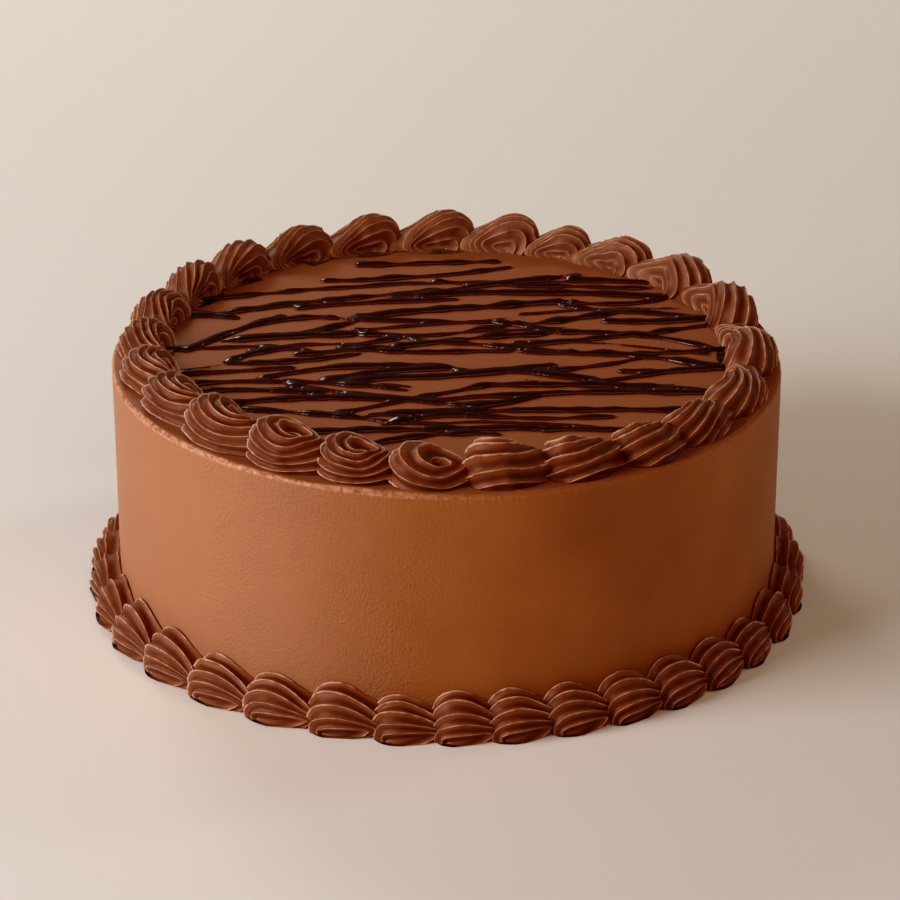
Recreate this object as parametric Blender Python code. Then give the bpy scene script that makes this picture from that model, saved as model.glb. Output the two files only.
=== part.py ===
"""Round iced chocolate cake with two piped shell borders and a drizzled top.

The cake stands on z = 0 with its axis on +Z. The front of the cake faces -Y.
Both borders are piped anticlockwise, seen from above, so each shell's round
head covers the tail of the shell before it.
"""

import math
import random

import bmesh
import bpy
from mathutils import Vector

# Cake
CAKE_RADIUS = 0.1015
CAKE_HEIGHT = 0.0741
EDGE_ROUND = 0.0024
EDGE_STEPS = 3
SIDE_FACETS = 72
# The iced top isn't quite level: how far it falls towards +X and rises towards +Y
TOP_SLOPE = math.radians(0.6)
TOP_RISE = math.radians(0.35)

# Space left between two pieces that touch
GAP = 0.0003

# Shell border round the top: where the first head sits, and the turn from
# each head to the next, in degrees. Hand piping makes them uneven, and the
# ring drifts outwards round the back.
TOP_START = -94.0
TOP_TURNS = (14, 14, 15, 14, 17, 22, 18, 20, 14, 14, 8, 17,
             13, 16, 14, 15, 13, 16, 15, 14, 17, 15, 13, 12)
TOP_RING_RADIUS = 0.0913
TOP_RING_DRIFT = 0.0035
TOP_SHELL_INNER = 0.0080
TOP_SHELL_OUTER = 0.0078
# Height of each shell in millimetres, from the first head on
TOP_SHELL_HEIGHTS = (
    10.2, 11.7, 10.0, 8.9, 8.9, 8.4, 8.8, 12.2, 10.7, 9.8, 8.9, 11.2,
    10.7, 10.3, 9.6, 10.2, 10.1, 8.2, 7.9, 8.8, 9.7, 12.2, 13.0, 11.3,
)
TOP_CRESTS = 4
TOP_SPOKES = 12

# Shell border round the foot: the turns of the front half are the ones that
# show, and the rest of the circle is shared evenly
FOOT_START = 171.0
FOOT_TURNS = (7, 8, 11, 11, 11, 12, 11, 11, 10, 9, 8, 10, 9, 10, 9, 10, 10, 11)
FOOT_COUNT = 35
FOOT_SHELL_DEPTH = 0.0090
FOOT_SHELL_HEIGHT = 0.0124
FOOT_CRESTS = 4
FOOT_SPOKES = 9

# How the star tube's flutes show on a shell
CREST_RISE = 0.0007
GROOVE_DROP = 0.0009
HOLLOW_DROP = 0.0034
HEAD_SHARE = 0.46
ROUNDNESS = 2.2
TAIL_SLOPE = 0.34
TAIL_REACH = 1.18
FOOT_SPREAD = 0.06
POLE_SPREAD = 0.14
SHELL_SEED = 24
# Direction from a shell's middle to the hollow its crests curl round, given
# as along the ring, away from the cake's axis, and up
TOP_POLE = (0.45, -0.55, 1.0)
FOOT_POLE = (-0.2, 1.0, 0.32)

# Drizzle: strokes stop short of the top border
DRIZZLE_REACH = 0.0805
STROKE_WIDTH = 0.0040
STROKE_RISE = 0.0011
STROKE_SUNK = 0.0005
STROKE_STEP = 0.011
DRIZZLE_SEED = 7

# Each stroke, in millimetres: where it starts, where it ends and how far its
# middle bows towards the back. They lie from the front of the cake to its back.
STROKES = (
    (-19, -65, 10, -61, 2),
    (-38, -59, 46, -54, 3),
    (-52, -44, -16, -51, 3),
    (-24, -47, 64, -42, 2),
    (4, -44, 46, -47, -2),
    (-32, -44, 16, -22, 0),
    (16, -22, 77, -27, 1),
    (-58, -38, 0, -38, 6),
    (-42, -26, -2, -38, 0),
    (-75, -26, -10, -29, 5),
    (-70, -31, -38, -30, 3),
    (0, -38, 30, -29, -4),
    (3, -34, 74, -29, 2),
    (-38, -22, 12, -13, -1),
    (-38, -22, 0, -8, 1),
    (-54, -18, 0, -11, 3),
    (0, -18, 34, -7, 0),
    (22, -14, 47, -20, 2),
    (34, -12, 62, 0, -2),
    (45, -21, 79, -8, 0),
    (51, -11, 79, -9, -1),
    (79, -8, 40, 2, 3),
    (40, 2, -12, 11, 0),
    (-80, -16, -45, -12, -1),
    (-67, -9, -25, 0, -3),
    (-67, -9, -40, 1, 6),
    (-47, -2, -17, 5, 0),
    (-17, 5, 33, 18, 1),
    (33, 18, 77, 8, 4),
    (80, 7, 20, 3, -4),
    (20, 3, -30, 4, -2),
    (18, 7, 79, 25, -2),
    (-34, 3, -14, 12, 1),
    (-81, 2, -50, 5, 0),
    (-76, 4, -50, 30, 2),
    (-62, 20, -33, 28, 3),
    (-33, 28, 14, 26, -1),
    (-68, 9, -28, 26, -3),
    (-66, 9, -27, 15, 1),
    (-27, 15, 20, 24, -4),
    (14, 27, 57, 18, -3),
    (20, 25, 55, 36, -2),
    (55, 36, 80, 32, 0),
    (35, 41, 60, 34, -1),
    (48, 28, 80, 32, -2),
    (-30, 29, 38, 44, 1),
    (38, 44, 64, 47, -4),
    (64, 48, -20, 47, 4),
    (-48, 36, 5, 45, 1),
    (-77, 29, -64, 27, 1),
    (-77, 29, 0, 53, 2),
    (0, 53, 38, 66, 0),
    (-80, 42, -5, 60, 1),
    (-5, 60, 62, 57, -1),
    (-41, 60, 16, 73, -3),
    (38, 64, 66, 61, 0),
    (-24, 75, 12, 78, 0),
)
MM = 0.001

BUTTERCREAM = (0.36, 0.13, 0.055)
BORDER_CREAM = (0.27, 0.10, 0.042)


def clear_scene():
    for item in list(bpy.data.objects):
        bpy.data.objects.remove(item, do_unlink=True)


def icing(name, colour, roughness):
    """A Principled material for one kind of icing."""
    material = bpy.data.materials.new(name)
    material.use_nodes = True
    shader = material.node_tree.nodes["Principled BSDF"]
    shader.inputs["Base Color"].default_value = (*colour, 1.0)
    shader.inputs["Roughness"].default_value = roughness
    shader.inputs["Metallic"].default_value = 0.0
    return material


def add_object(name, shape, material, collection=None):
    mesh = bpy.data.meshes.new(name)
    shape.normal_update()
    shape.to_mesh(mesh)
    shape.free()
    mesh.materials.append(material)
    item = bpy.data.objects.new(name, mesh)
    (collection or bpy.context.scene.collection).objects.link(item)
    return item


def fall(x, y):
    """How much the sloping top lies above its middle height at x and y."""
    return math.tan(TOP_RISE) * y - math.tan(TOP_SLOPE) * x


def turned_solid(profile, facets):
    """A solid of revolution about Z from (radius, height) pairs, foot to top."""
    shape = bmesh.new()
    rings = []
    for radius, height in profile:
        ring = []
        for k in range(facets):
            angle = 2.0 * math.pi * k / facets
            ring.append(shape.verts.new((radius * math.cos(angle), radius * math.sin(angle), height)))
        rings.append(ring)
    for low, high in zip(rings, rings[1:]):
        for k in range(facets):
            n = (k + 1) % facets
            shape.faces.new((low[k], low[n], high[n], high[k]))
    shape.faces.new(list(reversed(rings[0])))
    shape.faces.new(rings[-1])
    return shape


def cake_profile():
    profile = [(CAKE_RADIUS, 0.0)]
    for k in range(EDGE_STEPS + 1):
        angle = 0.5 * math.pi * k / EDGE_STEPS
        radius = CAKE_RADIUS - EDGE_ROUND * (1.0 - math.cos(angle))
        height = CAKE_HEIGHT - EDGE_ROUND * (1.0 - math.sin(angle))
        profile.append((radius, height))
    return profile


def stroke_path(row):
    """Points along one drizzle stroke, kept inside the top border."""
    x0, y0, x1, y1, bow = (value * MM for value in row)
    start = Vector((x0, y0, 0.0))
    end = Vector((x1, y1, 0.0))
    fine = []
    for k in range(61):
        u = k / 60
        point = start.lerp(end, u)
        point.y += bow * 4.0 * u * (1.0 - u)
        if point.length <= DRIZZLE_REACH:
            fine.append(point)
    length = (fine[-1] - fine[0]).length
    count = max(2, round(length / STROKE_STEP))
    return [fine[round(k * (len(fine) - 1) / count)] for k in range(count + 1)]


def stroke_solid(path, width, rise):
    """A low three-sided ridge along the path, with pinched ends."""
    shape = bmesh.new()
    sections = []
    base = CAKE_HEIGHT - STROKE_SUNK
    for k, point in enumerate(path):
        ahead = path[min(k + 1, len(path) - 1)]
        behind = path[max(k - 1, 0)]
        along = (ahead - behind).normalized()
        across = Vector((-along.y, along.x, 0.0))
        end = k in (0, len(path) - 1)
        half = width * (0.32 if end else 0.5)
        top = CAKE_HEIGHT + rise * (0.55 if end else 1.0)
        left = shape.verts.new((point.x + across.x * half, point.y + across.y * half, base))
        right = shape.verts.new((point.x - across.x * half, point.y - across.y * half, base))
        crest = shape.verts.new((point.x, point.y, top))
        sections.append((left, right, crest))
    for one, two in zip(sections, sections[1:]):
        shape.faces.new((one[0], one[1], two[1], two[0]))
        shape.faces.new((one[1], one[2], two[2], two[1]))
        shape.faces.new((one[2], one[0], two[0], two[2]))
    shape.faces.new((sections[0][0], sections[0][2], sections[0][1]))
    shape.faces.new((sections[-1][0], sections[-1][1], sections[-1][2]))
    bmesh.ops.recalc_face_normals(shape, faces=shape.faces)
    return shape


def make_cake(material):
    """The iced cake, with the drizzle fused to its top."""
    cake = add_object("cake_body", turned_solid(cake_profile(), SIDE_FACETS), material)
    drizzle = bpy.data.collections.new("drizzle_strokes")
    bpy.context.scene.collection.children.link(drizzle)
    draw = random.Random(DRIZZLE_SEED)
    for number, row in enumerate(STROKES):
        width = STROKE_WIDTH * draw.uniform(0.8, 1.25)
        rise = STROKE_RISE * draw.uniform(0.8, 1.2)
        solid = stroke_solid(stroke_path(row), width, rise)
        add_object(f"stroke_{number:02d}", solid, material, drizzle)
    fuse = cake.modifiers.new("drizzle", "BOOLEAN")
    fuse.operation = "UNION"
    fuse.operand_type = "COLLECTION"
    fuse.collection = drizzle
    fuse.solver = "EXACT"
    with bpy.context.temp_override(object=cake, active_object=cake, selected_objects=[cake]):
        bpy.ops.object.modifier_apply(modifier=fuse.name)
    for item in list(drizzle.objects):
        bpy.data.objects.remove(item, do_unlink=True)
    bpy.data.collections.remove(drizzle)
    middle = 0.5 * CAKE_HEIGHT
    for vertex in cake.data.vertices:
        if vertex.co.z > middle:
            vertex.co.z += fall(vertex.co.x, vertex.co.y)
    smooth_edges(cake)
    return cake


def smooth_edges(item):
    item.data.shade_smooth()
    item.data.set_sharp_from_angle(angle=math.radians(30))


def reach(ray, size):
    """Distance from a shell's middle to its rounded skin along a unit ray.

    size holds how far the shell reaches ahead, behind, outward, inward and up.
    """
    ahead, behind, outward, inward, up = size
    along = ray.x / (ahead if ray.x > 0.0 else behind)
    across = ray.y / (outward if ray.y > 0.0 else inward)
    tail = 1.0 - TAIL_SLOPE * max(0.0, ray.x) ** 1.5
    rise = ray.z / (up * tail)
    total = abs(along) ** ROUNDNESS + abs(across) ** ROUNDNESS + abs(rise) ** ROUNDNESS
    return total ** (-1.0 / ROUNDNESS)


def lean(pole, draw):
    """The pole of one shell, turned a little at random."""
    return Vector([value + draw.uniform(-POLE_SPREAD, POLE_SPREAD) for value in pole]).normalized()


def horizon(pole, side, walls):
    """Angle from the pole to the first resting plane, turning towards side."""
    angle = math.pi
    for wall in walls:
        near = math.atan2(pole.dot(wall), -side.dot(wall))
        angle = min(angle, near)
    return angle


def shell_solid(size, pole, walls, crests, spokes, limits, place):
    """A fluted shell: crests and grooves ring the pole like nested petals.

    Rays leave the shell's middle at the corner where it rests. limits are the
    furthest points behind and ahead, where the next shells begin. place turns
    a point along, outward and up into a point of the cake.
    """
    shape = bmesh.new()
    first = pole.cross(Vector((0.0, 1.0, 0.0))).normalized()
    second = pole.cross(first).normalized()
    levels = 2 * crests
    rings = []

    def skin(ray, lift):
        distance = reach(ray, size) + lift
        if ray.x > 1e-6:
            distance = min(distance, limits[1] / ray.x)
        if ray.x < -1e-6:
            distance = min(distance, limits[0] / ray.x)
        return shape.verts.new(place(ray * distance))

    tip = skin(pole, -HOLLOW_DROP)
    for level in range(1, levels + 1):
        share = (level + 0.35) / (levels + 0.35)
        lift = CREST_RISE if level % 2 == 1 else -GROOVE_DROP
        ring = []
        for k in range(spokes):
            angle = 2.0 * math.pi * k / spokes
            side = first * math.cos(angle) + second * math.sin(angle)
            bend = horizon(pole, side, walls) * share
            ray = pole * math.cos(bend) + side * math.sin(bend)
            if level == levels:
                lift = 0.0
            ring.append(skin(ray, lift))
        rings.append(ring)
    middle = shape.verts.new(place(Vector((0.0, 0.0, 0.0))))
    for k in range(spokes):
        n = (k + 1) % spokes
        shape.faces.new((tip, rings[0][k], rings[0][n]))
        for inner, outer in zip(rings, rings[1:]):
            shape.faces.new((inner[k], outer[k], outer[n], inner[n]))
        shape.faces.new((rings[-1][k], middle, rings[-1][n]))
    bmesh.ops.triangulate(shape, faces=shape.faces)
    bmesh.ops.recalc_face_normals(shape, faces=shape.faces)
    return shape


def heads(start, turns):
    """Azimuth of each head in radians, with the turn before and after it."""
    azimuth = start
    found = []
    for k, turn in enumerate(turns):
        found.append((math.radians(azimuth), math.radians(turns[k - 1]), math.radians(turn)))
        azimuth += turn
    return found


def span(before, after, radius):
    """How far a shell runs behind and ahead of its head, along its ring."""
    behind = before * HEAD_SHARE * radius - 0.5 * GAP
    ahead = after * (1.0 - HEAD_SHARE) * radius - 0.5 * GAP
    return behind, ahead


def make_top_border(material):
    draw = random.Random(SHELL_SEED)
    floor = CAKE_HEIGHT + GAP
    for number, (azimuth, before, after) in enumerate(heads(TOP_START, TOP_TURNS), 1):
        radius = TOP_RING_RADIUS + TOP_RING_DRIFT * max(0.0, math.sin(azimuth))
        behind, ahead = span(before, after, radius)

        def place(point):
            angle = azimuth + point.x / radius
            distance = radius + point.y
            x = distance * math.cos(angle)
            y = distance * math.sin(angle)
            return (x, y, floor + point.z + fall(x, y))

        height = TOP_SHELL_HEIGHTS[number - 1] * MM
        size = (ahead * TAIL_REACH, behind, TOP_SHELL_OUTER, TOP_SHELL_INNER, height)
        walls = (Vector((0.0, 0.0, 1.0)),)
        solid = shell_solid(size, lean(TOP_POLE, draw), walls, TOP_CRESTS, TOP_SPOKES, (-behind, ahead), place)
        smooth_edges(add_object(f"top_shell_{number:02d}", solid, material))


def foot_turns():
    hidden = FOOT_COUNT - len(FOOT_TURNS)
    rest = (360.0 - sum(FOOT_TURNS)) / hidden
    return list(FOOT_TURNS) + [rest] * hidden


def make_foot_border(material):
    draw = random.Random(SHELL_SEED + 1)
    radius = CAKE_RADIUS + GAP
    for number, (azimuth, before, after) in enumerate(heads(FOOT_START, foot_turns()), 1):
        scale = draw.uniform(1.0 - FOOT_SPREAD, 1.0 + FOOT_SPREAD)
        behind, ahead = span(before, after, radius)

        def place(point):
            angle = azimuth + point.x / radius
            distance = radius + point.y
            return (distance * math.cos(angle), distance * math.sin(angle), point.z)

        size = (ahead * TAIL_REACH, behind, FOOT_SHELL_DEPTH, FOOT_SHELL_DEPTH, FOOT_SHELL_HEIGHT * scale)
        walls = (Vector((0.0, 0.0, 1.0)), Vector((0.0, 1.0, 0.0)))
        solid = shell_solid(size, lean(FOOT_POLE, draw), walls, FOOT_CRESTS, FOOT_SPOKES, (-behind, ahead), place)
        smooth_edges(add_object(f"foot_shell_{number:02d}", solid, material))


def main():
    clear_scene()
    smooth_icing = icing("chocolate buttercream", BUTTERCREAM, 0.55)
    piped_icing = icing("piped chocolate buttercream", BORDER_CREAM, 0.5)
    make_cake(smooth_icing)
    make_top_border(piped_icing)
    make_foot_border(piped_icing)


main()
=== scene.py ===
import math
import random

import bmesh
import bpy
import numpy as np
from bpy.props import FloatProperty, FloatVectorProperty, IntProperty, PointerProperty, StringProperty
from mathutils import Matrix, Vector, noise


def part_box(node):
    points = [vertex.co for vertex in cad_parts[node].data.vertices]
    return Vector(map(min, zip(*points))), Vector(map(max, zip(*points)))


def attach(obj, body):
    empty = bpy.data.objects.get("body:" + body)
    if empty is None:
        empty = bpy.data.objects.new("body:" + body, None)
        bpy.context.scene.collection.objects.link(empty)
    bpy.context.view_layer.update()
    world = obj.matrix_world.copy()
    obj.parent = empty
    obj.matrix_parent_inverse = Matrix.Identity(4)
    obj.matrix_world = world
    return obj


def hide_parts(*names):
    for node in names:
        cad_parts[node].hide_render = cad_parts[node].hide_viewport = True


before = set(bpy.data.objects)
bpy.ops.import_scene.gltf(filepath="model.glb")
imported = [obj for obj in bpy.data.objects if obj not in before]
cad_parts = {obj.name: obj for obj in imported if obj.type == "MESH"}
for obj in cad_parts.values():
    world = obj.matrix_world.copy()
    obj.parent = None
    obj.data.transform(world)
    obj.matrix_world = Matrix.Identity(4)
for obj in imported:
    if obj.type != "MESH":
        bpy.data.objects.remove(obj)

bl_info = {
    "name": "Piped Chocolate Cake",
    "version": (1, 0, 0),
    "blender": (4, 5, 0),
    "location": "View3D > Sidebar > Cake",
    "description": "Ices, drizzles and pipes a round chocolate cake over its plain solids",
    "category": "Object",
}

MM = 0.001
BODY = "root"
CAKE_NODE = "cake_body"
TOP_NODES = sorted(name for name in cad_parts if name.startswith("top_shell"))
FOOT_NODES = sorted(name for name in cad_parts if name.startswith("foot_shell"))
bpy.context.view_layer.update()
CAKE_LOW, CAKE_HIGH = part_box(CAKE_NODE)
CAKE_RADIUS = CAKE_HIGH.x


def linear(hex_code):
    """An sRGB hex colour as linear RGB with full alpha."""
    parts = [int(hex_code[k:k + 2], 16) / 255.0 for k in (1, 3, 5)]
    return tuple(c / 12.92 if c <= 0.04045 else ((c + 0.055) / 1.055) ** 2.4 for c in parts) + (1.0,)


def select_only(item):
    """Selects one object and makes it the active one."""
    bpy.ops.object.select_all(action="DESELECT")
    item.select_set(True)
    bpy.context.view_layer.objects.active = item


def settle(item):
    """Puts the object's place, turn and scale into its mesh."""
    select_only(item)
    bpy.ops.object.transform_apply(location=True, rotation=True, scale=True)


def apply_modifier(item, kind, name, **settings):
    """Adds a modifier and applies it at once."""
    select_only(item)
    modifier = item.modifiers.new(name, kind)
    for key, value in settings.items():
        setattr(modifier, key, value)
    bpy.ops.object.modifier_apply(modifier=name)


def hand_over(piece, material, slot, *nodes):
    """Gives a finished piece its material, its body and the solids it stands for."""
    piece.data.materials.clear()
    piece.data.materials.append(material)
    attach(piece, BODY)
    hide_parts(*nodes)


def add_node(tree, kind, settings=None, links=None):
    """Adds a shader node. settings are attributes or socket values, links are sockets to feed."""
    node = tree.nodes.new(kind)
    for key, value in (settings or {}).items():
        if key in node.inputs:
            node.inputs[key].default_value = value
        else:
            setattr(node, key, value)
    for key, source in (links or {}).items():
        tree.links.new(source, node.inputs[key])
    return node


def new_material(name):
    """A material, its node tree and its shader."""
    material = bpy.data.materials.new(name)
    material.use_nodes = True
    tree = material.node_tree
    return material, tree, tree.nodes["Principled BSDF"]


def grain(size_mm):
    """Noise scale for a pattern whose features measure size_mm, on metre coordinates."""
    return 1000.0 / size_mm


def ramp(tree, source, stops):
    """A colour ramp through (position, hex colour) stops."""
    node = add_node(tree, "ShaderNodeValToRGB", links={"Fac": source})
    elements = node.color_ramp.elements
    while len(elements) < len(stops):
        elements.new(0.5)
    for element, (position, colour) in zip(elements, stops):
        element.position = position
        element.color = linear(colour)
    return node


def remap(tree, source, low, high, to_low=0.0, to_high=1.0):
    """Spreads low to high of the source over to_low to to_high, held at both ends."""
    node = add_node(tree, "ShaderNodeMapRange",
                    {"From Min": low, "From Max": high, "To Min": to_low, "To Max": to_high},
                    {"Value": source})
    return node.outputs["Result"]


def product(tree, first, second):
    """One value times another."""
    node = add_node(tree, "ShaderNodeMath", {"operation": "MULTIPLY"}, {0: first, 1: second})
    return node.outputs["Value"]


def distance_along(tree, where, direction):
    """How far each place lies along a direction."""
    node = add_node(tree, "ShaderNodeVectorMath", {"operation": "DOT_PRODUCT"}, {0: where})
    node.inputs[1].default_value = direction
    return node.outputs["Value"]


def distance_out(tree, where):
    """How far each place lies from the cake's axis."""
    flat = add_node(tree, "ShaderNodeVectorMath", {"operation": "MULTIPLY"}, {0: where})
    flat.inputs[1].default_value = (1.0, 1.0, 0.0)
    node = add_node(tree, "ShaderNodeVectorMath", {"operation": "LENGTH"}, {0: flat.outputs["Vector"]})
    return node.outputs["Value"]


def speckle(tree, where, size_mm, detail, roughness=0.5):
    """Noise whose features measure size_mm."""
    node = add_node(tree, "ShaderNodeTexNoise",
                    {"Scale": grain(size_mm), "Detail": detail, "Roughness": roughness}, {"Vector": where})
    return node.outputs["Fac"]


def blend(tree, share, first, second):
    """Mixes two colours, each a socket or an sRGB hex code."""
    node = add_node(tree, "ShaderNodeMixRGB", links={"Fac": share})
    for name, colour in (("Color1", first), ("Color2", second)):
        if isinstance(colour, str):
            node.inputs[name].default_value = linear(colour)
        else:
            tree.links.new(colour, node.inputs[name])
    return node.outputs["Color"]


def make_fatty(shader, roughness, tint, sheen, depth):
    """The satin skin that both kinds of buttercream have, which lets in a little light."""
    shader.inputs["Roughness"].default_value = roughness
    shader.inputs["Specular Tint"].default_value = linear(tint)
    shader.inputs["Sheen Weight"].default_value = sheen
    shader.inputs["Sheen Roughness"].default_value = 0.45
    shader.inputs["Sheen Tint"].default_value = linear("#FFE6D8")
    shader.inputs["IOR"].default_value = 1.46
    shader.inputs["Subsurface Weight"].default_value = 0.12
    shader.inputs["Subsurface Radius"].default_value = (1.0, 0.4, 0.2)
    shader.inputs["Subsurface Scale"].default_value = depth


# Directions out from the cake's axis, over its radius: towards the front left,
# where the light falls and a sheen is painted in, and nearer the front, where its grain is strongest.
LIT_WAY = (-0.82 / CAKE_RADIUS, -0.57 / CAKE_RADIUS, 0.0)
GRAINY_WAY = (-0.42 / CAKE_RADIUS, -0.91 / CAKE_RADIUS, 0.0)


def smoothed_buttercream():
    """Chocolate buttercream smoothed with a warm scraper.

    The scraper leaves a satin skin with faint cloudy colour and a fine grain on the
    side, stronger here and there. A painted sheen makes the side paler towards the front
    left, a darker tone on the top is painted shade, and a dry, torn, paler line along
    the top edge is partly a painted highlight, strongest on the front left.
    """
    material, tree, shader = new_material("smoothed chocolate buttercream")
    look = bpy.context.scene.cake_icing
    where = add_node(tree, "ShaderNodeTexCoord").outputs["Object"]
    level = distance_along(tree, where, (math.tan(look.slope), -math.tan(look.rise), 1.0))
    side = remap(tree, level, look.top - 0.15 * MM, look.top - 0.9 * MM)
    rim = remap(tree, level, look.top - 6.0 * MM, look.top - 0.8 * MM)
    lit_side = distance_along(tree, where, LIT_WAY)

    # The side is cloudy and, with a painted sheen, paler towards the front left; the top is even, in a
    # darker tone of painted shade.
    cloud = ramp(tree, speckle(tree, where, 45, 3.0), ((0.3, look.deep), (0.7, look.light)))
    tone = blend(tree, remap(tree, lit_side, 0.62, 0.9, to_high=0.55), cloud.outputs["Color"], look.painted_light)
    # The top gets a darker tone than the side: painted shade, for a face that the low light from the left
    # barely reaches.
    upper = blend(tree, side, look.upper, tone)

    # The dry, torn line lies on the outermost millimetre of the top edge, in broken bits.
    # It is partly a painted highlight: strong on the front left, where the light falls, faint elsewhere.
    out = remap(tree, distance_out(tree, where), CAKE_RADIUS - 1.0 * MM, CAKE_RADIUS - 0.5 * MM)
    strip = product(tree, out, remap(tree, level, look.top - 1.4 * MM, look.top - 0.8 * MM))
    highlit_strip = product(tree, strip, remap(tree, lit_side, 0.45, 0.85, to_low=0.12))
    bits = remap(tree, speckle(tree, where, 1.6, 4.0, 0.7), 0.38, 0.62, to_high=0.7)
    skin = blend(tree, product(tree, highlit_strip, bits), upper, look.dry_highlight)
    tree.links.new(skin, shader.inputs["Base Color"])

    # The scraper drags the icing under the top edge, and tears a grain in the side.
    upright = add_node(tree, "ShaderNodeMapping", {"Scale": (1.0, 1.0, 0.3)}, {"Vector": where})
    drag = add_node(tree, "ShaderNodeBump", {"Distance": 0.3 * MM},
                    {"Strength": product(tree, side, rim),
                     "Height": speckle(tree, upright.outputs["Vector"], 1.1, 3.0)})
    grainy = remap(tree, distance_along(tree, where, GRAINY_WAY), 0.84, 0.97, 0.25, 1.1)
    clumps = remap(tree, speckle(tree, where, 24, 2.0), 0.35, 0.6, to_low=0.45)
    tears = add_node(tree, "ShaderNodeBump", {"Distance": 0.45 * MM},
                     {"Strength": product(tree, side, product(tree, grainy, clumps)),
                      "Height": speckle(tree, where, 0.75, 3.0, 0.6), "Normal": drag.outputs["Normal"]})
    tree.links.new(tears.outputs["Normal"], shader.inputs["Normal"])
    make_fatty(shader, 0.6, "#FFE4D4", 0.06, 1.5 * MM)
    return material


def piped_buttercream():
    """Chocolate buttercream pressed through a star tube.

    It is darker in the flutes, which is painted shade, and the thin crests are lighter,
    partly as they dry and partly as a painted highlight. Towards the back the crest highlight
    is dimmed, which is painted shade, and the whole is lifted towards a paler tone, which is
    painted light. Tiny bubbles roughen the satin skin.
    """
    material, tree, shader = new_material("piped chocolate buttercream")
    look = bpy.context.scene.cake_piping
    where = add_node(tree, "ShaderNodeTexCoord").outputs["Object"]
    back = add_node(tree, "ShaderNodeSeparateXYZ", links={"Vector": where}).outputs["Y"]
    crest = add_node(tree, "ShaderNodeAttribute", {"attribute_name": "crest"}).outputs["Fac"]
    # The crests' highlight varies at random along them and is dimmed towards the back, which is painted
    # shade.
    dry_highlight = remap(tree, speckle(tree, where, 2.6, 2.0), 0.3, 0.65, 0.7, 1.08)
    painted_light = product(tree, dry_highlight, remap(tree, back, 10.0 * MM, 80.0 * MM, 1.0, 0.9))
    # The ramp paints shade deep in the flutes and a highlight along the crests.
    tone = ramp(tree, product(tree, crest, painted_light),
                ((0.0, look.painted_groove_shade), (0.3, look.flank), (0.55, look.flank), (0.95, look.crest)))
    shade = remap(tree, speckle(tree, where, 14, 3.0), 0.0, 1.0, 0.86, 1.12)
    mixed = add_node(tree, "ShaderNodeVectorMath", {"operation": "SCALE"},
                     {"Vector": tone.outputs["Color"], "Scale": shade})
    # Towards the back the piping is lifted towards a paler tone: painted light.
    painted_back_light = remap(tree, back, 10.0 * MM, 85.0 * MM, to_high=0.28)
    skin = blend(tree, painted_back_light, mixed.outputs["Vector"], look.painted_back_light)
    tree.links.new(skin, shader.inputs["Base Color"])
    bubbles = add_node(tree, "ShaderNodeBump", {"Strength": 0.2, "Distance": 0.12 * MM},
                       {"Height": speckle(tree, where, 0.9, 4.0)})
    tree.links.new(bubbles.outputs["Normal"], shader.inputs["Normal"])
    make_fatty(shader, 0.54, "#FFD8C0", 0.1, 1.2 * MM)
    return material


def dark_chocolate():
    """Melted dark chocolate that has set: near black, smooth and glossy, with soft ripples."""
    material, tree, shader = new_material("set dark chocolate")
    look = bpy.context.scene.cake_drizzle
    where = add_node(tree, "ShaderNodeTexCoord").outputs["Object"]
    thin = add_node(tree, "ShaderNodeAttribute", {"attribute_name": "thin"}).outputs["Fac"]
    tone = ramp(tree, thin, ((0.35, look.deep), (1.0, look.light)))
    tree.links.new(tone.outputs["Color"], shader.inputs["Base Color"])
    ripples = add_node(tree, "ShaderNodeBump", {"Strength": 0.2, "Distance": 0.2 * MM},
                       {"Height": speckle(tree, where, 3.5, 1.0)})
    tree.links.new(ripples.outputs["Normal"], shader.inputs["Normal"])
    shader.inputs["Roughness"].default_value = 0.24
    shader.inputs["IOR"].default_value = 1.5
    return material


def pale_floor():
    """Matt paper: even and pale, so that only the cake has colour."""
    material, tree, shader = new_material("pale matt paper")
    shader.inputs["Base Color"].default_value = linear("#F0EBE3")
    shader.inputs["Roughness"].default_value = 0.8
    return material


class CakeIcingSettings(bpy.types.PropertyGroup):
    slope: FloatProperty(name="Top slope", description="How far the iced top falls towards +X",
                         default=math.radians(0.6), subtype="ANGLE", unit="ROTATION")
    rise: FloatProperty(name="Top rise", description="How far the iced top rises towards the back",
                        default=math.radians(0.35), subtype="ANGLE", unit="ROTATION")
    top: FloatProperty(name="Top height", description="Height of the iced top on the cake's axis",
                       default=0.0741, subtype="DISTANCE", unit="LENGTH")
    edge: FloatProperty(name="Edge rounding", description="Rounding of the top edge",
                        default=0.0013, subtype="DISTANCE", unit="LENGTH")
    lip: FloatProperty(name="Lip", description="Height of the lip that the scraper leaves on the top edge",
                       default=0.0005, subtype="DISTANCE", unit="LENGTH")
    unevenness: FloatProperty(name="Unevenness", description="How far the scraper's path wanders",
                              default=0.0003, subtype="DISTANCE", unit="LENGTH")
    deep: StringProperty(name="Deep tone", description="sRGB hex of the icing's darker clouds",
                         default="#935226")
    light: StringProperty(name="Light tone", description="sRGB hex of the icing's lighter clouds",
                          default="#AA6636")
    # The painted sheen: the paler tone of the side's front left, where the light falls.
    painted_light: StringProperty(name="Painted sheen tone", description="sRGB hex of the paler icing on the front left",
                         default="#B27B5E")
    # The iced top's darker tone is painted shade.
    upper: StringProperty(name="Upper tone", description="sRGB hex of the iced top", default="#955229")
    # The torn line along the top edge is partly a painted highlight.
    dry_highlight: StringProperty(name="Dry highlight tone", description="sRGB hex of the torn line along the top edge",
                        default="#E3AE8C")


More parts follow.
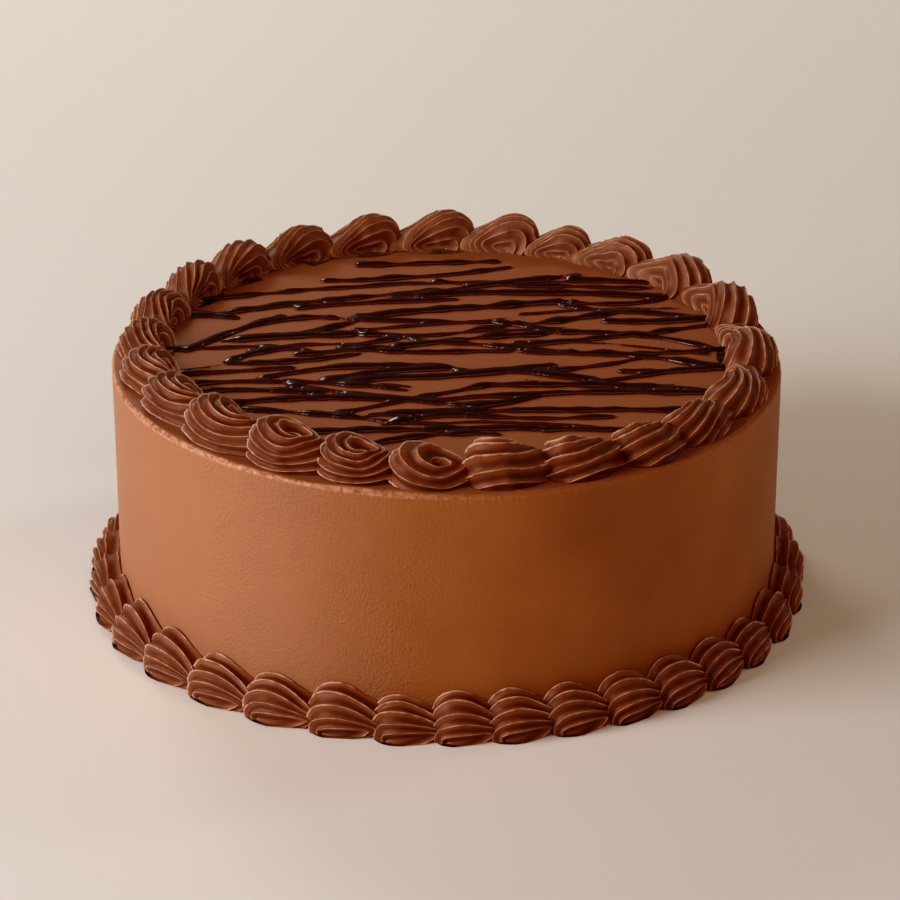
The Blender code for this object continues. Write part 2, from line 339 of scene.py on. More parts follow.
class CakePipingSettings(bpy.types.PropertyGroup):
    flute_depth: FloatProperty(name="Flute depth", default=0.0015, subtype="DISTANCE", unit="LENGTH",
                               description="Depth of the flutes that the star tube leaves")
    hollow: FloatProperty(name="Hollow depth", description="Depth of the hollow that each curl turns round",
                          default=0.0046, subtype="DISTANCE", unit="LENGTH")
    ragged: FloatProperty(name="Ragged crests", description="Height of torn bits along some crests",
                          default=0.0005, subtype="DISTANCE", unit="LENGTH")
    foot_crests: IntProperty(name="Foot crests", description="Crests on a shell of the foot border",
                             default=5)
    head_share: FloatProperty(name="Head share", description="Part of a shell that lies behind its middle",
                              default=0.46)
    lean_back: FloatProperty(name="Lean back", default=0.2,
                             description="How far a top shell leans over the one before, against its height")
    seed: IntProperty(name="Seed", description="Start of the random differences between shells", default=11)
    # The groove tone is painted shade deep in the flutes.
    painted_groove_shade: StringProperty(name="Groove tone", description="sRGB hex deep in a flute", default="#5C260C")
    flank: StringProperty(name="Flank tone", description="sRGB hex on a flute's side", default="#8A4A2A")
    # The crest tone is partly drier icing and partly a painted highlight.
    crest: StringProperty(name="Crest tone", description="sRGB hex along a crest", default="#E2B198")
    # The paler tone at the back is painted light.
    painted_back_light: StringProperty(name="Painted back light tone", description="sRGB hex that the piping nears at the back",
                          default="#AE7858")


class CakeDrizzleSettings(bpy.types.PropertyGroup):
    width: FloatProperty(name="Width", description="Mean width of a stroke",
                         default=0.0033, subtype="DISTANCE", unit="LENGTH")
    rise: FloatProperty(name="Rise", default=0.5,
                        description="How high a stroke stands on the icing, against its half width")
    grain: FloatProperty(name="Fusing grain", description="Cell size at which crossing strokes run together",
                         default=0.00055, subtype="DISTANCE", unit="LENGTH")
    border: FloatProperty(name="Border", default=0.0745, subtype="DISTANCE", unit="LENGTH",
                          description="Strokes that end farther out than this reach the border")
    run_under: FloatProperty(name="Run under", description="How far those strokes run on under it",
                             default=0.006, subtype="DISTANCE", unit="LENGTH")
    seed: IntProperty(name="Seed", description="Start of the random differences between strokes", default=7)
    deep: StringProperty(name="Deep tone", description="sRGB hex of the chocolate", default="#300B05")
    light: StringProperty(name="Light tone", description="sRGB hex where the chocolate is thin",
                          default="#602412")


class CakeStudioSettings(bpy.types.PropertyGroup):
    eye: FloatVectorProperty(name="Camera place", description="Where the camera stands",
                             default=(0.00096, -0.92674, 0.45385), subtype="TRANSLATION", unit="LENGTH")
    pitch: FloatProperty(name="Camera pitch", description="How far the camera looks down",
                         default=math.radians(23.94), subtype="ANGLE", unit="ROTATION")
    lens: FloatProperty(name="Lens", description="Focal length in millimetres on a 36 mm square frame",
                        default=131.6)
    key_power: FloatProperty(name="Key power", description="Power of the large soft light on the left",
                             default=19.0, unit="POWER")
    glint_power: FloatProperty(name="Glint power", description="Power of the small light behind the cake",
                               default=3.5, unit="POWER")
    fill_power: FloatProperty(name="Fill power", description="Power of the wide light in front on the right",
                              default=5.0, unit="POWER")
    backdrop_power: FloatProperty(name="Backdrop power", default=60.0, unit="POWER",
                                  description="Power of the light on the floor far behind")
    fill: FloatProperty(name="Fill", description="Strength of the even light from all round", default=0.14)


def fall(x, y):
    """How far the sloping top lies above its middle height at x and y."""
    look = bpy.context.scene.cake_icing
    return math.tan(look.rise) * y - math.tan(look.slope) * x


# Widths of the rings that the flat top is cut into, in millimetres, from its edge inwards.
TOP_RINGS = (2, 4, 8, 12, 16, 18, 18)
# How many level bands the side is cut into.
SIDE_BANDS = 15
# How fine the scraper's drift is, and the lip's slow and quick changes, in waves to the metre.
DRIFT_WAVES = 28.0
LIP_WAVES = 45.0
LIP_TEARS = 400.0


class CAKE_OT_ice_cake(bpy.types.Operator):
    """Turns the iced cake: a straight side, a rounded top edge and a flat top"""
    bl_idname = "cake.ice_cake"
    bl_label = "Ice the cake"

    def execute(self, context):
        look = context.scene.cake_icing
        bpy.ops.object.select_all(action="DESELECT")
        bpy.ops.mesh.primitive_cylinder_add(vertices=288, radius=CAKE_RADIUS, depth=look.top,
                                            location=(0.0, 0.0, 0.5 * look.top))
        cake = context.active_object
        cake.name = "iced_cake"
        settle(cake)
        bpy.ops.object.mode_set(mode="EDIT")
        self.select_upward(cake, 0.5)
        bpy.ops.mesh.bevel(offset=look.edge, segments=8, profile=0.5, affect="EDGES")
        self.select_upward(cake, 0.999)
        for ring in TOP_RINGS:
            bpy.ops.mesh.inset(thickness=ring * MM)
        bpy.ops.object.mode_set(mode="OBJECT")
        self.cut_levels(cake, look.top)
        self.wander(cake, look)
        bpy.ops.object.shade_smooth()
        hand_over(cake, smoothed_buttercream(), "smooth_icing", CAKE_NODE)
        return {"FINISHED"}

    def select_upward(self, cake, least):
        """Selects the faces whose normals rise by more than least."""
        bpy.ops.mesh.select_all(action="DESELECT")
        shape = bmesh.from_edit_mesh(cake.data)
        for face in shape.faces:
            if face.normal.z > least:
                face.select_set(True)
        bmesh.update_edit_mesh(cake.data)

    def cut_levels(self, cake, top):
        """Cuts the tall side into level bands. The top one is half as high again."""
        select_only(cake)
        bpy.ops.object.mode_set(mode="EDIT")
        for band in range(1, SIDE_BANDS):
            level = band * top / (SIDE_BANDS + 0.5)
            bpy.ops.mesh.select_all(action="SELECT")
            bpy.ops.mesh.bisect(plane_co=(0.0, 0.0, level), plane_no=(0.0, 0.0, 1.0))
        bpy.ops.object.mode_set(mode="OBJECT")

    def wander(self, cake, look):
        """Slopes the top, lets the surface wander as scraped icing does, and raises the lip."""
        for vertex in cake.data.vertices:
            place = vertex.co
            span = math.hypot(place.x, place.y)
            drift = noise.noise(place * DRIFT_WAVES) * look.unevenness
            if place.z > 0.5 * MM and span > 0.9 * CAKE_RADIUS:
                place.x += drift * place.x / span
                place.y += drift * place.y / span
            if place.z > 0.5 * look.top:
                place.z += fall(place.x, place.y) * min(1.0, place.z / look.top)
            if place.z > look.top - 2.0 * MM:
                place.z += drift
            if place.z > look.top - 1.2 * MM and span > CAKE_RADIUS - 1.8 * MM:
                slow, quick = noise.noise(place * LIP_WAVES), noise.noise(place * LIP_TEARS)
                place.z += look.lip * max(0.0, 0.6 + slow + 0.5 * quick)


# Each drizzle stroke, in millimetres on the top: x and y of its start, x and y of
# its end, and how far its middle bows towards the back. The list goes from the
# front of the cake to its back.
STROKES = (
    (-26, -72, 16, -60, 5), (-46, -61, 30, -56, 2), (26, -56, 54, -55, 0), (-62, -44, -16, -52, 2),
    (-24, -47, 68, -42, 2), (-16, -52, 6, -46, 1), (4, -46, 50, -46, -2), (-33, -47, 16, -22, 1),
    (12, -24, 77, -27, 3), (-65, -42, 0, -38, 6), (-48, -25, -2, -38, 0), (-75, -26, -10, -29, 5),
    (-74, -33, -36, -31, 3), (0, -38, 30, -29, -4), (-6, -36, 74, -29, 3), (-38, -22, 20, -13, -1),
    (-38, -22, 4, -12, 3), (-57, -21, 4, -12, 6), (2, -14, 34, -8, -1), (8, -13, 47, -20, 2),
    (26, -13, 62, 0, -2), (42, -22, 79, -8, 0), (51, -12, 79, -9, -1), (79, -8, 40, 2, 3),
    (40, 2, -12, 11, 0), (-80, -16, -45, -12, -1), (-67, -9, -25, 0, -3), (-67, -9, -40, 1, 6),
    (-47, -2, -17, 5, 0), (-17, 5, 33, 18, 1), (33, 18, 77, 8, 4), (80, 7, 20, 3, -4),
    (20, 3, -30, 4, -2), (18, 7, 79, 25, -2), (-34, 3, -14, 12, 1), (-81, 2, -50, 5, 0),
    (-76, 4, -50, 30, 2), (-62, 20, -33, 28, 3), (-33, 28, 14, 26, -1), (-68, 9, -28, 26, -3),
    (-66, 9, -27, 15, 1), (-27, 15, 20, 24, -4), (14, 27, 57, 18, -3), (20, 25, 55, 36, -2),
    (55, 36, 80, 32, 0), (35, 41, 60, 34, -1), (48, 28, 80, 32, -2), (-30, 29, 38, 44, 1),
    (38, 44, 64, 47, -4), (64, 48, -20, 47, 4), (-48, 36, 5, 45, 1), (-77, 29, -64, 27, 1),
    (-77, 29, 0, 53, 2), (0, 53, 38, 66, 0), (-80, 42, -5, 60, 1), (-5, 60, 62, 57, -1),
    (-41, 60, 16, 73, -3), (38, 64, 66, 61, 0), (-24, 75, 12, 78, 0),
)

# The thin threads between those strokes, given in the same way.
THREADS = (
    (-82, -16, -64, -9, 0), (-20, -54, 47, -54, 3), (-31, -33, 4, -36, 1), (-30, -22, -8, -27, 1),
    (4, -33, 70, -25, 1), (22, -20, 70, -22, -2), (-62, 1, -20, 8, 2), (-14, 12, 40, 22, 2),
    (20, 10, 76, 2, 3), (-70, 8, -20, 17, 3), (-30, 19, 20, 30, -1), (22, 33, 70, 38, 2),
    (-64, 34, -10, 42, 2), (-10, 46, 50, 52, 2), (-50, 52, 20, 61, 1), (20, 60, 60, 62, 0),
)

# Sizes along a stroke: the step between its points, how far it strays from its
# bow, the length over which that sets in, the length of the blob at its start and
# the length over which the start rounds off. Then the shortest and the longest
# thin end, in millimetres.
STEP = 2.2 * MM
STRAY = 1.1 * MM
SET_IN = 6.0 * MM
BLOB_LENGTH = 2.5 * MM
START_ROUNDING = 1.3 * MM
SHORT_TAPER = 2.0
LONG_TAPER = 9.0
# How quickly a stroke strays and swells, in waves to the metre, and how much it swells.
STRAY_WAVES = 60.0
SWELL_WAVES = 130.0
SWELL = 0.75


class CAKE_OT_drizzle(bpy.types.Operator):
    """Draws the strokes of melted chocolate across the top and lets them run together"""
    bl_idname = "cake.drizzle"
    bl_label = "Drizzle the top"

    def execute(self, context):
        look = context.scene.cake_drizzle
        draw = random.Random(look.seed)
        bpy.ops.object.select_all(action="DESELECT")
        bpy.ops.curve.primitive_bezier_curve_add(location=(0.0, 0.0, 0.0))
        lines = context.active_object
        lines.name = "drizzle"
        curve = lines.data
        curve.splines.clear()
        curve.dimensions = "3D"
        curve.bevel_depth = 0.5 * look.width
        curve.bevel_resolution = 4
        curve.use_fill_caps = True
        for row in STROKES:
            self.stroke(curve, row, draw.uniform(0.85, 1.2), draw, look)
        for row in THREADS:
            self.stroke(curve, row, draw.uniform(0.48, 0.65), draw, look)
        select_only(lines)
        bpy.ops.object.convert(target="MESH")
        lines = context.active_object
        self.flatten(lines, look)
        apply_modifier(lines, "REMESH", "run together", mode="VOXEL", voxel_size=look.grain)
        apply_modifier(lines, "SMOOTH", "settle", factor=0.5, iterations=8)
        bpy.ops.object.shade_smooth()
        self.lay_down(lines, look, context.scene.cake_icing.top)
        hand_over(lines, dark_chocolate(), "drizzle", CAKE_NODE)
        return {"FINISHED"}

    def stroke(self, curve, row, weight, draw, look):
        """One stroke: a bowed path that wanders a little, thicker here and thinner there."""
        x0, y0, x1, y1, bow = (value * MM for value in row)
        length = math.hypot(x1 - x0, y1 - y0)
        ux, uy = (x1 - x0) / length, (y1 - y0) / length
        if math.hypot(x0, y0) > look.border:
            x0, y0 = x0 - ux * look.run_under, y0 - uy * look.run_under
        if math.hypot(x1, y1) > look.border:
            x1, y1 = x1 + ux * look.run_under, y1 + uy * look.run_under
        length = math.hypot(x1 - x0, y1 - y0)
        count = max(10, round(length / STEP))
        spline = curve.splines.new("POLY")
        spline.points.add(count)
        shift = draw.uniform(0.0, 90.0)
        blob = draw.uniform(0.0, 0.5)
        taper = draw.uniform(SHORT_TAPER, LONG_TAPER) * MM
        for k in range(count + 1):
            u = k / count
            away = u * length
            from_end = min(away, length - away)
            wave = noise.noise(Vector((shift + away * STRAY_WAVES, 0.3, 0.7)))
            swell = noise.noise(Vector((shift + away * SWELL_WAVES, 5.1, 0.2)))
            x = x0 + (x1 - x0) * u
            y = y0 + (y1 - y0) * u + bow * 4.0 * u * (1.0 - u)
            y += wave * STRAY * min(1.0, from_end / SET_IN)
            spline.points[k].co = (x, y, 0.0, 1.0)
            size = weight * (1.0 + SWELL * swell + blob * math.exp(-(away / BLOB_LENGTH) ** 2))
            rounding = taper if away > 0.5 * length else START_ROUNDING
            tip = min(1.0, (from_end + 0.2 * MM) / rounding)
            spline.points[k].radius = size * math.sqrt(max(0.03, 1.0 - (1.0 - tip) ** 2))

    def flatten(self, lines, look):
        """Presses the round strokes flatter, so that they sink a little into the icing."""
        for vertex in lines.data.vertices:
            vertex.co.z = vertex.co.z * look.rise + 0.1 * look.width

    def lay_down(self, lines, look, top):
        """Notes where the chocolate is thin, and lifts it onto the sloping top."""
        thin = lines.data.attributes.new("thin", "FLOAT", "POINT")
        for vertex in lines.data.vertices:
            thin.data[vertex.index].value = 1.0 - min(1.0, max(0.0, vertex.co.z / (0.45 * look.width)))
            vertex.co.z += top + fall(vertex.co.x, vertex.co.y)


class Seat:
    """Where one piped shell sits, read from its plain solid.

    azimuth is where its middle lies round the cake's axis, and behind and ahead
    are its turns to either side of that. inner, outer, low and high are its limits
    across and up.
    """

    def __init__(self, node, head_share):
        points = np.array([vertex.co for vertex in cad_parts[node].data.vertices])
        middle = points.mean(axis=0)
        centre = math.atan2(middle[1], middle[0])
        turns = np.arctan2(points[:, 1], points[:, 0]) - centre
        turns = (turns + math.pi) % (2.0 * math.pi) - math.pi
        spans = np.hypot(points[:, 0], points[:, 1])
        self.inner = float(spans.min())
        self.outer = float(spans.max())
        self.low = float(points[:, 2].min())
        self.high = float(points[:, 2].max())
        wide = float(turns.max() - turns.min())
        self.azimuth = centre + float(turns.min()) + head_share * wide
        self.behind = head_share * wide
        self.ahead = (1.0 - head_share) * wide


# Where the rows of vertices lie between one crest and the next, close beside the crests.
FLUTE_PHASES = (0.0, 0.025, 0.06, 0.12, 0.21, 0.34, 0.5, 0.66, 0.79, 0.88, 0.94, 0.975)
# The widest angle from the hollow at which a tail still draws the loops out.
MOST_AWAY = math.radians(88.0)
# Flutes fade out over this angle, in radians, before a loop meets a resting plane.
RUN_OUT = 0.08
# Flutes are shallower near the hollow, up to this share of the way to the foot,
# and near the tail, up to this angle in radians.
SHALLOW_SHARE = 0.2
SHALLOW_ANGLE = 0.5
# The power that shapes a flute. The lower it is, the thinner its crests are.
FLUTE_SHARPNESS = 0.55
# How far a crest rises over the plain shell, and how far its flutes' depth varies,
# both over that depth.
CREST_RISE = 0.3
UNEVEN = 0.35
# How far the crests sway from even spacing, at how many steps from the hollow to
# the foot that is read, and how quickly it changes round the hollow and on the way.
SWAY = 0.05
SWAY_STEPS = 9
SWAY_ROUND = 0.9
SWAY_DOWN = 2.5
# How quickly a shell's lumps, the depth of its flutes, its torn places and the
# torn bits in them change with the direction from its middle.
LUMP_WAVES = 2.2
DEPTH_WAVES = 1.7
TORN_WAVES = 2.6
BIT_WAVES = 24.0
# Only what is nearer to a crest than this gets torn bits (1 on the crest itself).
TORN_CREST = 0.4
# How late a tail drops and narrows. The higher the power, the later it starts.
DROP_POWER = 1.4
NARROW_POWER = 1.6
# Vertices nearer to each other than this are merged.
MERGE = 0.002 * MM


def crest_loops(form):
    """Rows of directions that follow the crests of a shell.

    Gives the directions, how far each lies on the way from the hollow to the
    foot, how far it lies between crests (0 on a crest, 1 deep in a flute) and how
    clear it is of the planes that the shell rests on (0 to 1).
    """
    pole = Vector(form["pole"]).normalized()
    tail = Vector(form["tail"]).normalized()
    first = (tail - pole * pole.dot(tail)).normalized()
    second = first.cross(pole)
    away = min(pole.angle(tail), MOST_AWAY)
    crests, columns, seed = form["crests"], form["columns"], form["seed"]
    rows = [period + phase for period in range(-1, crests) for phase in FLUTE_PHASES] + [float(crests)]
    turn = np.linspace(0.0, 2.0 * math.pi, columns + 1)
    w = np.array(rows)[:, None]
    share = np.clip((w + (1.0 - turn[None, :] / (2.0 * math.pi))) / crests, 0.0, 1.0)

    # A plane that the shell rests on is met at an angle from the hollow, its horizon.
    side = np.outer(np.cos(turn), first) + np.outer(np.sin(turn), second)
    horizons = [np.arctan2(pole.dot(wall), -side @ np.array(wall)) for wall in form["walls"]]
    edge = np.minimum.reduce(horizons)
    steps = np.linspace(0.0, 1.0, SWAY_STEPS)
    sway = np.array([[noise.noise(Vector((math.cos(a) * SWAY_ROUND + seed, math.sin(a) * SWAY_ROUND,
                                          step * SWAY_DOWN)))
                      for a in turn] for step in steps])

    # Each crest starts as a circle round the hollow, and is then drawn out towards
    # the tail, as far as its angle allows, and cut off where it meets a plane.
    span = form["follow"] * horizons[-1] + (1.0 - form["follow"]) * horizons[-1].max()
    bend = np.empty_like(share)
    clear = np.empty_like(share)
    for c in range(columns + 1):
        wobble = np.interp(share[:, c], steps, sway[:, c]) * np.sin(np.pi * share[:, c])
        spread = np.clip(share[:, c] + SWAY * wobble, 0.0, 1.0) ** form["crowd"]
        swing = math.hypot(min(turn[c], 2.0 * math.pi - turn[c]), form["ease"])
        circle = span[c] * spread
        leave = np.arccos(np.clip(np.tan(np.minimum(circle, away)) / math.tan(away), 0.0, 1.0))
        drawn = np.arctan2(np.sin(circle), np.cos(circle) * np.cos(np.maximum(0.0, leave - swing)))
        bend[:, c] = np.minimum(edge[c], drawn)
        clear[:, c] = np.clip((edge[c] - drawn) / RUN_OUT, 0.0, 1.0)
    ray = np.cos(bend)[..., None] * np.array(pole) + np.sin(bend)[..., None] * side[None, :, :]
    phase = w - np.floor(w)
    flute = np.abs(np.sin(np.pi * phase)) ** FLUTE_SHARPNESS * np.ones_like(share)
    return ray, share, flute, clear


def plain_reach(form, ray):
    """How far the unfluted shell reaches in each direction. It narrows and drops towards its tail."""
    along, across, rise = ray[..., 0], ray[..., 1], ray[..., 2]
    front = np.clip(along, 0.0, 1.0)
    lower = 1.0 - form["tail_drop"] * front ** DROP_POWER
    narrow = 1.0 - form["tail_narrow"] * front ** NARROW_POWER
    long = np.where(along > 0.0, form["ahead"], form["behind"])
    wide = np.where(across > 0.0, form["outward"], form["inward"]) * narrow
    high = form["up"] * lower
    power = form["roundness"]
    total = np.abs(along / long) ** power + np.abs(across / wide) ** power + np.abs(rise / high) ** power
    return total ** (-1.0 / power)


def fluted_shell(name, form, place):
    """A piped shell as one closed mesh.

    form holds the reaches ahead, behind, outward, inward and up, the pole that
    the crests loop round, the tail that the loops are drawn out towards, the
    planes it rests on, the number of crests and the flute sizes. Rows of
    vertices follow the crests, which wind inwards by one crest in a turn, so
    every crest stays sharp. A smaller form["ease"] draws the loops out further.
    """
    ray, share, flute, clear = crest_loops(form)
    reach = plain_reach(form, ray)
    tail = Vector(form["tail"]).normalized()
    from_tail = np.arccos(np.clip(ray @ np.array(tail), -1.0, 1.0))
    fade = np.clip(share / SHALLOW_SHARE, 0.3, 1.0) * np.clip(from_tail / SHALLOW_ANGLE, 0.2, 1.0) * clear
    near = np.exp(-(share / form["eye"]) ** 2)
    seed, columns = form["seed"], form["columns"]
    shape = bmesh.new()
    layer = shape.verts.layers.float.new("crest")
    grid = []
    for r in range(reach.shape[0]):
        line = []
        for c in range(columns + 1):
            direction = Vector(ray[r, c])
            lump = noise.noise(direction * LUMP_WAVES + Vector((seed, 3.1, 0.4)))
            uneven = noise.noise(direction * DEPTH_WAVES + Vector((0.2, seed, 9.0)))
            deep = form["flute"] * fade[r, c] * (1.0 + UNEVEN * uneven)
            crest = (1.0 - float(flute[r, c])) * float(clear[r, c])
            lift = CREST_RISE * deep * clear[r, c] - deep * flute[r, c]
            lift = lift + lump * form["lump"] - form["hollow"] * near[r, c]
            torn = noise.noise(direction * TORN_WAVES + Vector((seed, seed, 1.0)))
            if crest > TORN_CREST and torn > form["torn_over"]:
                bit = noise.noise(direction * BIT_WAVES + Vector((0.0, seed, 0.0)))
                lift += form["ragged"] * bit * crest
            vertex = shape.verts.new(place(direction * (float(reach[r, c]) + lift)))
            vertex[layer] = crest
            line.append(vertex)
        grid.append(line)
    middle = shape.verts.new(place(Vector((0.0, 0.0, 0.0))))
    for one, two in zip(grid, grid[1:]):
        for c in range(columns):
            shape.faces.new((one[c], two[c], two[c + 1], one[c + 1]))
    for c in range(columns):
        shape.faces.new((grid[-1][c], middle, grid[-1][c + 1]))
    bmesh.ops.remove_doubles(shape, verts=shape.verts, dist=MERGE)
    bmesh.ops.dissolve_degenerate(shape, edges=shape.edges, dist=MERGE)
    bmesh.ops.recalc_face_normals(shape, faces=shape.faces)
    mesh = bpy.data.meshes.new(name)
    shape.to_mesh(mesh)
    shape.free()
    mesh.shade_smooth()
    piece = bpy.data.objects.new(name, mesh)
    bpy.context.scene.collection.objects.link(piece)
    return piece


def lean(pole, draw, spread):
    """The direction of a hollow, a little different from shell to shell."""
    return [value + draw.uniform(-spread, spread) for value in pole]


def piping_cream():
    """The piped icing's material, made once."""
    return bpy.data.materials.get("piped chocolate buttercream") or piped_buttercream()


# The top border's shells, from the one at the front and anticlockwise: where the
# hollow of the curl faces (ahead, outward, up), where the tail leaves (outward,
# up), crests between hollow and foot, how far their spacing follows the foot, and
# how little they are drawn out.
TOP_CURLS = (
    (0.45, 0.3, 0.8, 0.15, 0.25, 5, 0.6, 0.4), (0.0, -0.6, 0.6, -0.1, 0.4, 7, 0.35, 0.3),
    (-0.1, -0.6, 0.65, -0.2, 0.2, 7, 0.35, 0.3), (-0.1, -0.65, 0.6, -0.2, 0.2, 7, 0.35, 0.3),
    (-0.2, -0.85, 0.4, 0.1, 0.2, 9, 0.3, 0.2), (-0.2, -0.85, 0.35, 0.1, 0.2, 9, 0.2, 0.2),
    (-0.2, -0.9, 0.2, 0.0, 0.25, 10, 0.2, 0.2), (0.3, -0.9, 0.12, -0.1, 0.3, 10, 0.2, 0.3),
    (0.35, -0.9, 0.12, -0.1, 0.3, 10, 0.2, 0.3), (0.0, -0.9, 0.08, -0.3, 0.25, 10, 0.2, 0.15),
    (-0.3, -0.9, 0.1, -0.4, 0.2, 10, 0.2, 0.12), (-0.2, -0.9, 0.2, -0.3, 0.25, 10, 0.2, 0.2),
    (-0.35, -0.9, 0.1, -0.4, 0.2, 10, 0.2, 0.12), (-0.35, -0.9, 0.12, -0.4, 0.2, 10, 0.2, 0.12),
    (-0.3, -0.9, 0.12, -0.4, 0.2, 10, 0.2, 0.12), (-0.3, -0.9, 0.12, -0.4, 0.2, 10, 0.2, 0.12),
    (-0.25, -0.9, 0.2, -0.4, 0.2, 10, 0.2, 0.15), (0.0, -0.85, 0.25, -0.4, 0.2, 10, 0.3, 0.25),
    (0.0, -0.8, 0.4, -0.4, 0.3, 9, 0.4, 0.3), (0.1, -0.7, 0.7, -0.5, 0.4, 8, 0.6, 0.35),
    (0.2, -0.6, 0.75, -0.4, 0.5, 8, 0.7, 0.35), (0.45, -0.4, 0.8, -0.4, 0.5, 8, 0.8, 0.35),
    (0.35, 0.05, 0.9, -0.2, 0.5, 7, 0.9, 0.4), (0.3, 0.1, 0.9, -0.15, 0.5, 7, 0.9, 0.4),
)

# Shells on the right whose heads run far over the shells before them, and the
# reach behind of those and of the others, over the solid's.
LONG_SHELLS = (4, 5, 6)
LONG_BEHIND = 1.35
PLAIN_BEHIND = 1.1
# A hollow that faces outward by less than this faces the middle of the cake.
FACES_IN = -0.7
# How far a tail runs on under the next head, over the solid's, and how far its
# end bends in towards the cake's axis.
TOP_TAIL = 1.55
TAIL_BEND = 2.4 * MM


class CAKE_OT_pipe_top(bpy.types.Operator):
    """Pipes the shells of the top border, each head over the tail before it"""
    bl_idname = "cake.pipe_top"
    bl_label = "Pipe the top border"

    def execute(self, context):
        look = context.scene.cake_piping
        cream = piping_cream()
        draw = random.Random(look.seed)
        floor = context.scene.cake_icing.top
        for number, node in enumerate(TOP_NODES):
            seat = Seat(node, look.head_share)
            radius = 0.5 * (seat.inner + seat.outer)
            half = 0.5 * (seat.outer - seat.inner)
            ahead, outward, up, tail_out, tail_up, crests, follow, ease = TOP_CURLS[number]
            reach = seat.ahead * radius * TOP_TAIL
            inward = outward < FACES_IN

            def place(point, seat=seat, radius=radius, reach=reach):
                late = max(0.0, point.x / reach)
                angle = seat.azimuth + (point.x - look.lean_back * point.z) / radius
                away = radius + point.y - TAIL_BEND * late * late
                x, y = away * math.cos(angle), away * math.sin(angle)
                return (x, y, floor + point.z + fall(x, y))

            form = {
                "ahead": reach,
                "behind": seat.behind * radius * (LONG_BEHIND if number in LONG_SHELLS else PLAIN_BEHIND),
                "outward": half * draw.uniform(1.0, 1.08),
                "inward": half * draw.uniform(1.0, 1.08),
                "up": seat.high - seat.low,
                "pole": lean((ahead, outward, up), draw, 0.04),
                "tail": (1.0, tail_out, tail_up),
                "ease": ease,
                "walls": (Vector((0.0, 0.0, 1.0)),),
                "crests": crests,
                "follow": follow,
                "columns": 96,
                "tail_drop": 0.45 if inward else 0.3,
                "tail_narrow": 0.32,
                "roundness": 2.25,
                "flute": look.flute_depth * draw.uniform(0.9, 1.15) * (0.8 if inward else 1.0),
                "hollow": look.hollow,
                "eye": 0.19,
                "crowd": 0.9 if inward else 1.15,
                "lump": 0.5 * MM,
                "ragged": look.ragged,
                "torn_over": 0.22,
                "seed": 3.7 * number + 0.5,
            }
            piece = fluted_shell("piped_" + node, form, place)
            hand_over(piece, cream, "piped_icing", node)
        return {"FINISHED"}


# How far a foot shell's tail runs on under the next head and its own head runs
# back, over the solid's.
FOOT_TAIL = 2.2
FOOT_BEHIND = 1.12


class CAKE_OT_pipe_foot(bpy.types.Operator):
    """Pipes the smaller shells round the foot of the cake"""
    bl_idname = "cake.pipe_foot"
    bl_label = "Pipe the foot border"

    def execute(self, context):
        look = context.scene.cake_piping
        cream = piping_cream()
        draw = random.Random(look.seed + 1)
        for number, node in enumerate(FOOT_NODES):
            seat = Seat(node, look.head_share)
            radius = CAKE_RADIUS - 0.2 * MM

            def place(point, seat=seat, radius=radius):
                angle = seat.azimuth + point.x / radius
                away = radius + point.y
                return (away * math.cos(angle), away * math.sin(angle), point.z)

            form = {
                "ahead": seat.ahead * radius * FOOT_TAIL,
                "behind": seat.behind * radius * FOOT_BEHIND,
                "outward": (seat.outer - radius) * draw.uniform(0.98, 1.04),
                "inward": seat.outer - radius,
                "up": seat.high * draw.uniform(0.98, 1.04),
                "pole": lean((-0.35, 1.0, 0.04), draw, 0.03),
                "tail": (1.0, 0.4, 0.18),
                "ease": draw.uniform(0.05, 0.09),
                "walls": (Vector((0.0, 0.0, 1.0)), Vector((0.0, 1.0, 0.0))),
                "crests": look.foot_crests,
                "follow": 1.0,
                "columns": 72,
                "tail_drop": 0.42,
                "tail_narrow": 0.35,
                "roundness": 2.5,
                "flute": look.flute_depth * draw.uniform(0.75, 0.95),
                "hollow": 0.3 * look.hollow,
                "eye": 0.12,
                "crowd": 1.1,
                "lump": 0.4 * MM,
                "ragged": 0.6 * look.ragged,
                "torn_over": 0.25,
                "seed": 2.9 * number + 100.5,
            }
            piece = fluted_shell("piped_" + node, form, place)
            hand_over(piece, cream, "piped_icing", node)
        return {"FINISHED"}


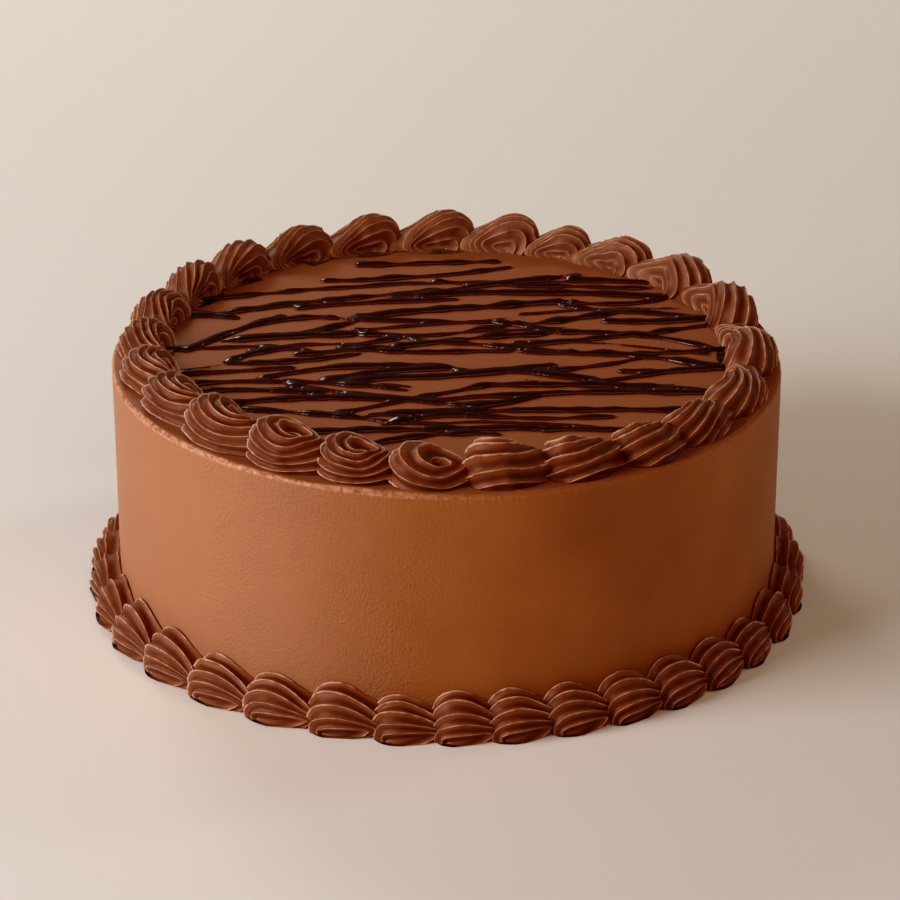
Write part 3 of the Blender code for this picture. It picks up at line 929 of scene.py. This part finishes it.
class CAKE_OT_stage(bpy.types.Operator):
    """Lays the pale floor, sets the soft lights and stands the camera"""
    bl_idname = "cake.stage"
    bl_label = "Set the stage"

    def execute(self, context):
        look = context.scene.cake_studio
        bpy.ops.object.select_all(action="DESELECT")
        bpy.ops.mesh.primitive_plane_add(size=8.0, location=(0.0, 0.0, -0.2 * MM))
        floor = context.active_object
        floor.name = "floor"
        floor.data.materials.append(pale_floor())
        self.light("key", (-1.16, -0.54, 0.62), 0.8, look.key_power, "#F8FAFF")
        self.light("glint", (-0.45, 1.0, 0.75), 0.35, look.glint_power, "#FFFAF2")
        self.light("front fill", (0.55, -1.05, 1.0), 1.2, look.fill_power, "#FFCDA0")
        self.light("backdrop", (2.2, 1.2, 1.4), 1.5, look.backdrop_power, "#FFFAF2", (0.6, 4.5, 0.0))
        world = bpy.data.worlds.new("studio air")
        world.use_nodes = True
        air = world.node_tree.nodes["Background"]
        air.inputs["Color"].default_value = linear("#F3DCC6")
        air.inputs["Strength"].default_value = look.fill
        context.scene.world = world
        bpy.ops.object.camera_add(location=look.eye, rotation=(0.5 * math.pi - look.pitch, 0.0, 0.0))
        camera = context.active_object
        camera.data.lens = look.lens
        camera.data.sensor_width = 36.0
        context.scene.camera = camera
        self.develop(context.scene.view_settings)
        return {"FINISHED"}

    def develop(self, view):
        """Deepens the shadows a little, as a camera's own picture does."""
        view.view_transform = "Standard"
        view.use_curve_mapping = True
        curve = view.curve_mapping.curves[3]
        for level, shown in ((0.015, 0.004), (0.05, 0.03), (0.1, 0.078), (0.2, 0.178), (0.5, 0.49)):
            curve.points.new(level, shown)
        view.curve_mapping.update()

    def light(self, name, place, size, power, colour, target=(0.0, 0.0, 0.05)):
        """A square soft light that faces its target: the middle of the cake, if none is named."""
        aim = Vector(target) - Vector(place)
        turn = aim.to_track_quat("-Z", "Y").to_euler()
        bpy.ops.object.light_add(type="AREA", location=place, rotation=turn)
        lamp = bpy.context.active_object
        lamp.name = name
        lamp.data.shape = "SQUARE"
        lamp.data.size = size
        lamp.data.energy = power
        lamp.data.color = linear(colour)[:3]


class CAKE_PT_panel(bpy.types.Panel):
    """A button for each step"""
    bl_label = "Piped Chocolate Cake"
    bl_idname = "CAKE_PT_panel"
    bl_space_type = "VIEW_3D"
    bl_region_type = "UI"
    bl_category = "Cake"

    def draw(self, context):
        for operator in OPERATORS:
            self.layout.operator(operator.bl_idname)


SETTINGS = {
    "cake_icing": CakeIcingSettings,
    "cake_piping": CakePipingSettings,
    "cake_drizzle": CakeDrizzleSettings,
    "cake_studio": CakeStudioSettings,
}
OPERATORS = (CAKE_OT_stage, CAKE_OT_ice_cake, CAKE_OT_drizzle, CAKE_OT_pipe_top, CAKE_OT_pipe_foot)


def register():
    for name, group in SETTINGS.items():
        bpy.utils.register_class(group)
        setattr(bpy.types.Scene, name, PointerProperty(type=group))
    for operator in OPERATORS:
        bpy.utils.register_class(operator)
    bpy.utils.register_class(CAKE_PT_panel)


def unregister():
    bpy.utils.unregister_class(CAKE_PT_panel)
    for operator in reversed(OPERATORS):
        bpy.utils.unregister_class(operator)
    for name, group in reversed(SETTINGS.items()):
        delattr(bpy.types.Scene, name)
        bpy.utils.unregister_class(group)


def main():
    register()
    bpy.ops.cake.stage()
    bpy.ops.cake.ice_cake()
    bpy.ops.cake.drizzle()
    bpy.ops.cake.pipe_top()
    bpy.ops.cake.pipe_foot()


if __name__ == "__main__":
    main()
